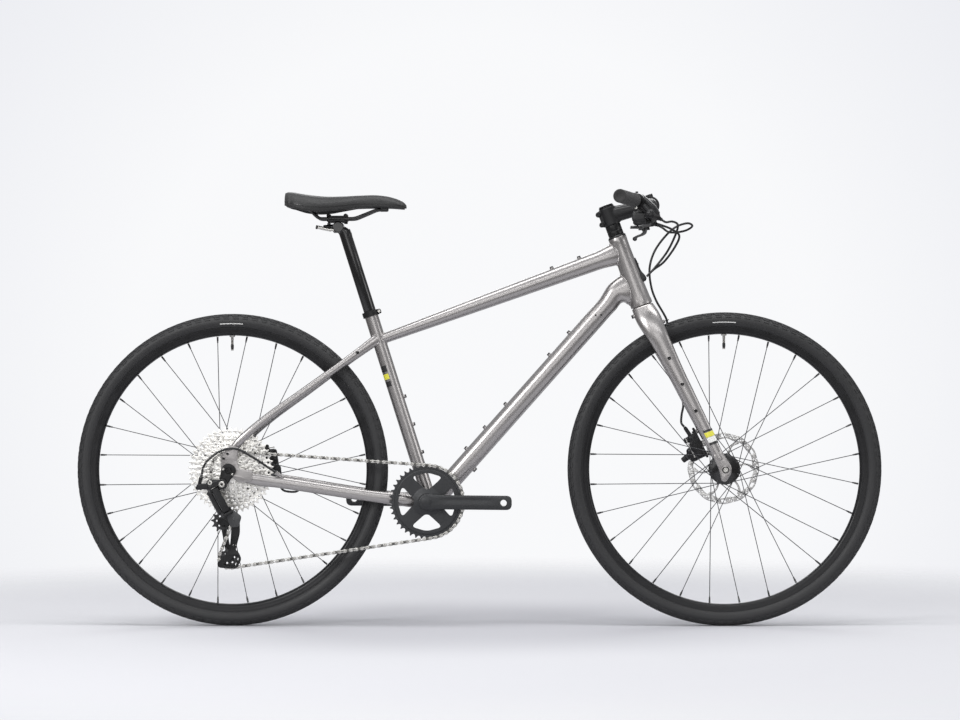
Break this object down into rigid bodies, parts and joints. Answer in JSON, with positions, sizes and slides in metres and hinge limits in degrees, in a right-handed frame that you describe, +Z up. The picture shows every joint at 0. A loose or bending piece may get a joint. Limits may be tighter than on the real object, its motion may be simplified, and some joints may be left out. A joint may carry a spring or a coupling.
{
  "type": "touring bicycle",
  "caption": "Flat-bar touring bicycle with disc brakes, a single-chainring drive with rear derailleur, wire-spoked wheels and mounts for racks and bottles.",
  "frame": {"origin": "on the ground, midway between the wheels, in the plane of the wheels", "axes": "+X forward, +Y to the rider's left, so the drive side is at -Y, +Z up"},
  "size_m": [1.7918, 0.6464, 0.9615],
  "materials": {
    "frame_paint": "satin metallic",
    "black_alloy": "satin anodised",
    "bright_steel": "brushed",
    "black_plastic": "matte",
    "grip_rubber": "matte",
    "tyre_rubber": "matte"
  },
  "bodies": {
    "frame_body": {"frame": "frame_paint", "seat_collar": "black_alloy", "bottom_bracket_right": "black_alloy", "bottom_bracket_left": "black_alloy", "derailleur_hanger": "black_alloy", "rear_axle": "black_alloy", "headset_lower_bearing": "black_alloy", "headset_upper_bearing": "black_alloy", "head_tube_cable_port": "black_plastic", "rear_brake_hose": "black_plastic", "shift_housing": "black_plastic", "rear_brake_caliper": "black_alloy", "rear_brake_hose_end": "black_plastic", "shift_housing_end": "black_plastic", "derailleur_b_knuckle": "black_alloy", "chain": "bright_steel"},
    "steering_body": {"fork": "frame_paint", "headset_spacer": "black_alloy", "headset_top_cap": "black_alloy", "stem": "black_alloy", "stem_faceplate": "black_alloy", "handlebar": "black_alloy", "grip_left": "grip_rubber", "grip_right": "grip_rubber", "brake_master_left": "black_alloy", "brake_master_right": "black_alloy", "shifter_body": "black_plastic", "front_brake_caliper": "black_alloy", "front_brake_hose": "black_plastic", "front_axle": "black_alloy"},
    "left_lever_body": {"brake_lever_left": "black_alloy"},
    "right_lever_body": {"brake_lever_right": "black_alloy"},
    "main_paddle_body": {"shift_lever_main": "black_alloy"},
    "release_paddle_body": {"shift_lever_release": "black_alloy"},
    "front_wheel_body": {"front_tyre": "tyre_rubber", "front_rim": "black_alloy", "front_hub": "black_alloy", "front_brake_rotor": "bright_steel", "front_valve": "bright_steel"},
    "rear_wheel_body": {"rear_tyre": "tyre_rubber", "rear_rim": "black_alloy", "rear_hub": "black_alloy", "rear_brake_rotor": "bright_steel", "rear_valve": "bright_steel"},
    "cassette_body": {"cassette": "bright_steel"},
    "crank_body": {"chainring": "black_alloy", "crank_right": "black_alloy", "crank_left": "black_alloy"},
    "outer_link_body": {"derailleur_outer_link": "black_alloy"},
    "inner_link_body": {"derailleur_inner_link": "black_alloy"},
    "p_knuckle_body": {"derailleur_p_knuckle": "black_alloy"},
    "cage_body": {"derailleur_cage_outer": "black_alloy", "derailleur_cage_inner": "black_alloy"},
    "guide_pulley_body": {"guide_pulley": "black_plastic"},
    "tension_pulley_body": {"tension_pulley": "black_plastic"},
    "seatpost_body": {"seatpost": "black_alloy"},
    "saddle_clamp_body": {"saddle_clamp": "black_alloy"},
    "saddle_body": {"saddle_rails": "bright_steel", "saddle_padding": "grip_rubber", "saddle_shell": "black_plastic"}
  },
  "joints": [
    {"name": "steering", "type": "hinge", "parent": "frame_body", "child": "steering_body", "pos_m": [0.36617, 0, 0.71196], "axis": [-0.3387, 0, 0.9409], "range_deg": [-65, 65], "deforming": ["rear_brake_hose", "shift_housing"]},
    {"name": "front_wheel_spin", "type": "hinge", "parent": "steering_body", "child": "front_wheel_body", "pos_m": [0.5479, 0, 0.348], "axis": [0, 1, 0], "continuous": true},
    {"name": "rear_wheel_spin", "type": "hinge", "parent": "frame_body", "child": "rear_wheel_body", "pos_m": [-0.5479, 0, 0.348], "axis": [0, 1, 0], "continuous": true},
    {"name": "crank_spin", "type": "hinge", "parent": "frame_body", "child": "crank_body", "pos_m": [-0.11087, 0, 0.278], "axis": [0, 1, 0], "continuous": true, "deforming": ["chain"]},
    {"name": "cassette_spin", "type": "hinge", "parent": "frame_body", "child": "cassette_body", "pos_m": [-0.5479, 0, 0.348], "axis": [0, 1, 0], "continuous": true, "deforming": ["chain"]},
    {"name": "derailleur_shift", "type": "hinge", "parent": "frame_body", "child": "outer_link_body", "pos_m": [-0.57657, -0.09197, 0.30732], "axis": [0.817, 0.3688, 0.4433], "range_deg": [-17, 21], "deforming": ["chain"]},
    {"name": "inner_link_pivot", "type": "hinge", "parent": "frame_body", "child": "inner_link_body", "pos_m": [-0.58143, -0.07803, 0.30468], "axis": [0.817, 0.3688, 0.4433], "range_deg": [-17, 21]},
    {"name": "p_knuckle_pivot", "type": "hinge", "parent": "outer_link_body", "child": "p_knuckle_body", "pos_m": [-0.55177, -0.09197, 0.26161], "axis": [0.817, 0.3688, 0.4433], "range_deg": [-21, 17]},
    {"name": "cage_pivot", "type": "hinge", "parent": "p_knuckle_body", "child": "cage_body", "pos_m": [-0.5358, -0.059, 0.2431], "axis": [0, 1, 0], "range_deg": [-30.1, 24.4], "deforming": ["chain"]},
    {"name": "guide_pulley_spin", "type": "hinge", "parent": "cage_body", "child": "guide_pulley_body", "pos_m": [-0.56537, -0.0502, 0.23567], "axis": [0, 1, 0], "continuous": true, "deforming": ["chain"]},
    {"name": "tension_pulley_spin", "type": "hinge", "parent": "cage_body", "child": "tension_pulley_body", "pos_m": [-0.5503, -0.0502, 0.15404], "axis": [0, 1, 0], "continuous": true, "deforming": ["chain"]},
    {"name": "left_brake_pull", "type": "hinge", "parent": "steering_body", "child": "left_lever_body", "pos_m": [0.37894, 0.16881, 0.89232], "axis": [0.9361, 0.2384, 0.2588], "range_deg": [0, 18], "stiffness_Nm_per_rad": 1, "springref_deg": -8.59},
    {"name": "right_brake_pull", "type": "hinge", "parent": "steering_body", "child": "right_lever_body", "pos_m": [0.37894, -0.16881, 0.89232], "axis": [-0.9361, 0.2384, -0.2588], "range_deg": [0, 18], "stiffness_Nm_per_rad": 1, "springref_deg": -8.59},
    {"name": "main_shift_push", "type": "hinge", "parent": "steering_body", "child": "main_paddle_body", "pos_m": [0.36135, -0.12313, 0.87916], "axis": [0.0035, 0.0134, 0.9999], "range_deg": [0, 30], "stiffness_Nm_per_rad": 0.3, "springref_deg": -17.19},
    {"name": "release_shift_push", "type": "hinge", "parent": "steering_body", "child": "release_paddle_body", "pos_m": [0.36135, -0.12313, 0.87916], "axis": [-0.0035, -0.0134, -0.9999], "range_deg": [0, 12], "stiffness_Nm_per_rad": 0.3, "springref_deg": -17.19},
    {"name": "seatpost_height", "type": "slide", "parent": "frame_body", "child": "seatpost_body", "axis": [-0.2999, 0, 0.954], "range_m": [-0.1, 0.05]},
    {"name": "saddle_tilt", "type": "hinge", "parent": "seatpost_body", "child": "saddle_clamp_body", "pos_m": [-0.30928, 0, 0.88846], "axis": [0, 1, 0], "range_deg": [-10, 10]},
    {"name": "saddle_slide", "type": "slide", "parent": "saddle_clamp_body", "child": "saddle_body", "axis": [1, 0, 0], "range_m": [-0.015, 0.015]}
  ],
  "couplings": [
    {"joint": "cassette_spin", "follows": "crank_spin", "ratio": 1.9048},
    {"joint": "guide_pulley_spin", "follows": "crank_spin", "ratio": -3.6364},
    {"joint": "tension_pulley_spin", "follows": "crank_spin", "ratio": 3.6364},
    {"joint": "inner_link_pivot", "follows": "derailleur_shift", "ratio": 1},
    {"joint": "p_knuckle_pivot", "follows": "derailleur_shift", "ratio": -1},
    {"joint": "cage_pivot", "follows": "derailleur_shift", "ratio": -1.43}
  ]
}
